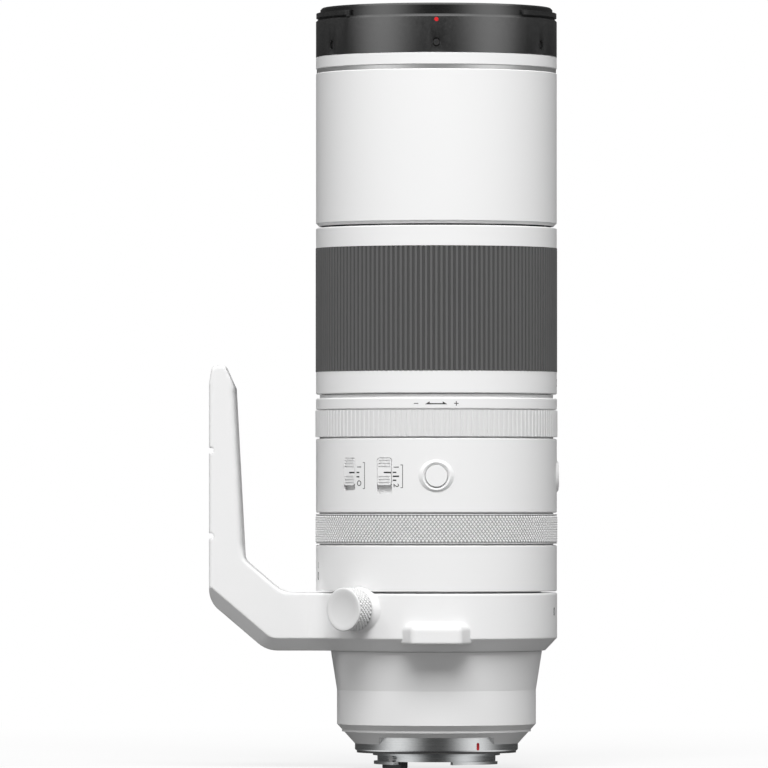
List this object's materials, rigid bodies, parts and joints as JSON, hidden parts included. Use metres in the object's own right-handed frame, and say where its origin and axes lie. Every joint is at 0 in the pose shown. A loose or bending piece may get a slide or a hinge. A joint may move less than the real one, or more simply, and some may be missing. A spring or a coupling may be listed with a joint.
{
  "type": "camera zoom lens",
  "caption": "Large white telephoto zoom lens with ribbed rubber grip, control rings, slide switches and a rotating tripod collar on a long foot.",
  "frame": {"origin": "centre of the bayonet mount's face on the optical axis", "axes": "+Z along the optical axis towards the front element; -X towards the tripod foot; -Y is the side with the switches and index marks"},
  "size_m": [0.1478, 0.115, 0.3218],
  "materials": {
    "white_paint": "satin white heat-shield paint",
    "grey_ring": "satin light grey",
    "black_anodised": "satin black anodised",
    "silver_accent": "fine turned silver",
    "grip_rubber": "ribbed dark grey rubber",
    "seal_rubber": "smooth black rubber",
    "mount_chrome": "bright turned mount",
    "steel": "brushed",
    "contact_gold": "gold plated",
    "black_plastic": "matte black moulding",
    "white_plastic": "satin white moulding",
    "inner_black": "flat black inner barrel, glass-filled moulding",
    "inner_metal": "black anodised",
    "board": "lacquered circuit board",
    "optical_glass": "coated, polished"
  },
  "bodies": {
    "main_barrel": {"mount_flange": "mount_chrome", "mount_screws": "steel", "mount_stop_pin": "steel", "mount_seal": "seal_rubber", "rear_barrel": "white_paint", "rear_lens_cell": "inner_black", "rear_lens": "optical_glass", "rear_baffle": "black_plastic", "contact_block": "black_plastic", "contact_pins": "contact_gold", "circuit_board": "board", "focus_rods": "steel", "focus_motor": "black_plastic", "stabiliser_base": "inner_black", "iris_base": "inner_black", "lower_barrel": "white_paint", "control_barrel": "white_paint", "index_band": "white_paint", "guide_barrel": "inner_metal"},
    "zoom_ring": {"zoom_ring_core": "white_paint", "zoom_grip": "grip_rubber", "cam_barrel": "inner_metal"},
    "front_barrel": {"extension_tube": "inner_metal", "front_followers": "steel", "front_doublet": "optical_glass", "front_sleeve": "white_paint", "accent_ring": "silver_accent", "front_trim_ring": "white_paint", "filter_ring": "black_anodised", "filter_ring_screws": "steel", "front_lens": "optical_glass", "retaining_ring": "black_anodised"},
    "variator": {"variator_cell": "inner_black", "variator_followers": "steel", "variator_lens": "optical_glass"},
    "focus_group": {"focus_cell": "inner_black", "focus_lens": "optical_glass"},
    "stabiliser_plate": {"stabiliser_guide": "inner_black"},
    "stabiliser_carrier": {"stabiliser_frame": "inner_black", "stabiliser_lens": "optical_glass"},
    "iris_ring": {"iris_drive_ring": "inner_metal"},
    "torque_collar": {"torque_ring": "grey_ring"},
    "control_collar": {"control_ring": "white_paint"},
    "tripod_mount": {"tripod_collar": "white_paint", "foot_insert": "steel"},
    "clamp_pad": {"clamp_shoe": "black_plastic"},
    "clamp_screw": {"clamp_knob": "white_paint"},
    "front_button": {"function_button_front": "white_plastic"},
    "side_button": {"function_button_side": "white_plastic"},
    "focus_slider": {"focus_switch": "white_plastic"},
    "stabiliser_slider": {"stabiliser_switch": "white_plastic"},
    "blade_1": {"iris_blade_1": "inner_metal"},
    "blade_2": {"iris_blade_2": "inner_metal"},
    "blade_3": {"iris_blade_3": "inner_metal"},
    "blade_4": {"iris_blade_4": "inner_metal"},
    "blade_5": {"iris_blade_5": "inner_metal"},
    "blade_6": {"iris_blade_6": "inner_metal"},
    "blade_7": {"iris_blade_7": "inner_metal"},
    "blade_8": {"iris_blade_8": "inner_metal"},
    "blade_9": {"iris_blade_9": "inner_metal"}
  },
  "joints": [
    {"name": "zoom_turn", "type": "hinge", "parent": "main_barrel", "child": "zoom_ring", "pos_m": [0, 0, 0.185], "axis": [0, 0, -1], "range_deg": [0, 130]},
    {"name": "front_slide", "type": "slide", "parent": "main_barrel", "child": "front_barrel", "axis": [0, 0, 1], "range_m": [0, 0.088]},
    {"name": "variator_slide", "type": "slide", "parent": "main_barrel", "child": "variator", "axis": [0, 0, 1], "range_m": [-0.02, 0]},
    {"name": "focus_slide", "type": "slide", "parent": "main_barrel", "child": "focus_group", "axis": [0, 0, 1], "range_m": [-0.005, 0.005]},
    {"name": "stabiliser_x", "type": "slide", "parent": "main_barrel", "child": "stabiliser_plate", "axis": [1, 0, 0], "range_m": [-0.001, 0.001]},
    {"name": "stabiliser_y", "type": "slide", "parent": "stabiliser_plate", "child": "stabiliser_carrier", "axis": [0, 1, 0], "range_m": [-0.001, 0.001]},
    {"name": "iris_turn", "type": "hinge", "parent": "main_barrel", "child": "iris_ring", "pos_m": [0, 0, 0.059], "axis": [0, 0, 1], "range_deg": [0, 7.42]},
    {"name": "torque_turn", "type": "hinge", "parent": "main_barrel", "child": "torque_collar", "pos_m": [0, 0, 0.1381], "axis": [0, 0, 1], "range_deg": [0, 40]},
    {"name": "control_turn", "type": "hinge", "parent": "main_barrel", "child": "control_collar", "pos_m": [0, 0, 0.09365], "axis": [0, 0, 1], "continuous": true},
    {"name": "collar_turn", "type": "hinge", "parent": "main_barrel", "child": "tripod_mount", "pos_m": [0, 0, 0.0545], "axis": [0, 0, 1], "continuous": true},
    {"name": "shoe_slide", "type": "slide", "parent": "tripod_mount", "child": "clamp_pad", "axis": [-0.6293, -0.7771, 0], "range_m": [0, 0.0005]},
    {"name": "knob_turn", "type": "hinge", "parent": "clamp_pad", "child": "clamp_screw", "pos_m": [-0.03625, -0.04476, 0.06], "axis": [-0.6293, -0.7771, 0], "range_deg": [0, 180]},
    {"name": "front_button_press", "type": "slide", "parent": "main_barrel", "child": "front_button", "axis": [0, 1, 0], "range_m": [0, 0.0006], "stiffness_N_per_m": 400, "springref_m": -0.0006},
    {"name": "side_button_press", "type": "slide", "parent": "main_barrel", "child": "side_button", "axis": [-1, 0, 0], "range_m": [0, 0.0006], "stiffness_N_per_m": 400, "springref_m": -0.0006},
    {"name": "focus_switch_slide", "type": "slide", "parent": "main_barrel", "child": "focus_slider", "axis": [0, 0, -1], "range_m": [0, 0.0033]},
    {"name": "stabiliser_switch_slide", "type": "slide", "parent": "main_barrel", "child": "stabiliser_slider", "axis": [0, 0, -1], "range_m": [0, 0.0019]},
    {"name": "blade_1_turn", "type": "hinge", "parent": "main_barrel", "child": "blade_1", "pos_m": [0.026, 0, 0.057], "axis": [0, 0, 1], "range_deg": [0, 40]},
    {"name": "blade_2_turn", "type": "hinge", "parent": "main_barrel", "child": "blade_2", "pos_m": [0.01992, 0.01671, 0.057], "axis": [0, 0, 1], "range_deg": [0, 40]},
    {"name": "blade_3_turn", "type": "hinge", "parent": "main_barrel", "child": "blade_3", "pos_m": [0.00451, 0.0256, 0.057], "axis": [0, 0, 1], "range_deg": [0, 40]},
    {"name": "blade_4_turn", "type": "hinge", "parent": "main_barrel", "child": "blade_4", "pos_m": [-0.013, 0.02252, 0.057], "axis": [0, 0, 1], "range_deg": [0, 40]},
    {"name": "blade_5_turn", "type": "hinge", "parent": "main_barrel", "child": "blade_5", "pos_m": [-0.02443, 0.00889, 0.057], "axis": [0, 0, 1], "range_deg": [0, 40]},
    {"name": "blade_6_turn", "type": "hinge", "parent": "main_barrel", "child": "blade_6", "pos_m": [-0.02443, -0.00889, 0.057], "axis": [0, 0, 1], "range_deg": [0, 40]},
    {"name": "blade_7_turn", "type": "hinge", "parent": "main_barrel", "child": "blade_7", "pos_m": [-0.013, -0.02252, 0.057], "axis": [0, 0, 1], "range_deg": [0, 40]},
    {"name": "blade_8_turn", "type": "hinge", "parent": "main_barrel", "child": "blade_8", "pos_m": [0.00451, -0.0256, 0.057], "axis": [0, 0, 1], "range_deg": [0, 40]},
    {"name": "blade_9_turn", "type": "hinge", "parent": "main_barrel", "child": "blade_9", "pos_m": [0.01992, -0.01671, 0.057], "axis": [0, 0, 1], "range_deg": [0, 40]}
  ],
  "couplings": [
    {"joint": "front_slide", "follows": "zoom_turn", "m_per_rad": 0.038785},
    {"joint": "variator_slide", "follows": "zoom_turn", "m_per_rad": -0.0088147},
    {"joint": "knob_turn", "follows": "shoe_slide", "rad_per_m": 6283},
    {"joint": "blade_1_turn", "follows": "iris_turn", "ratio": 5.3891},
    {"joint": "blade_2_turn", "follows": "iris_turn", "ratio": 5.3891},
    {"joint": "blade_3_turn", "follows": "iris_turn", "ratio": 5.3891},
    {"joint": "blade_4_turn", "follows": "iris_turn", "ratio": 5.3891},
    {"joint": "blade_5_turn", "follows": "iris_turn", "ratio": 5.3891},
    {"joint": "blade_6_turn", "follows": "iris_turn", "ratio": 5.3891},
    {"joint": "blade_7_turn", "follows": "iris_turn", "ratio": 5.3891},
    {"joint": "blade_8_turn", "follows": "iris_turn", "ratio": 5.3891},
    {"joint": "blade_9_turn", "follows": "iris_turn", "ratio": 5.3891}
  ]
}
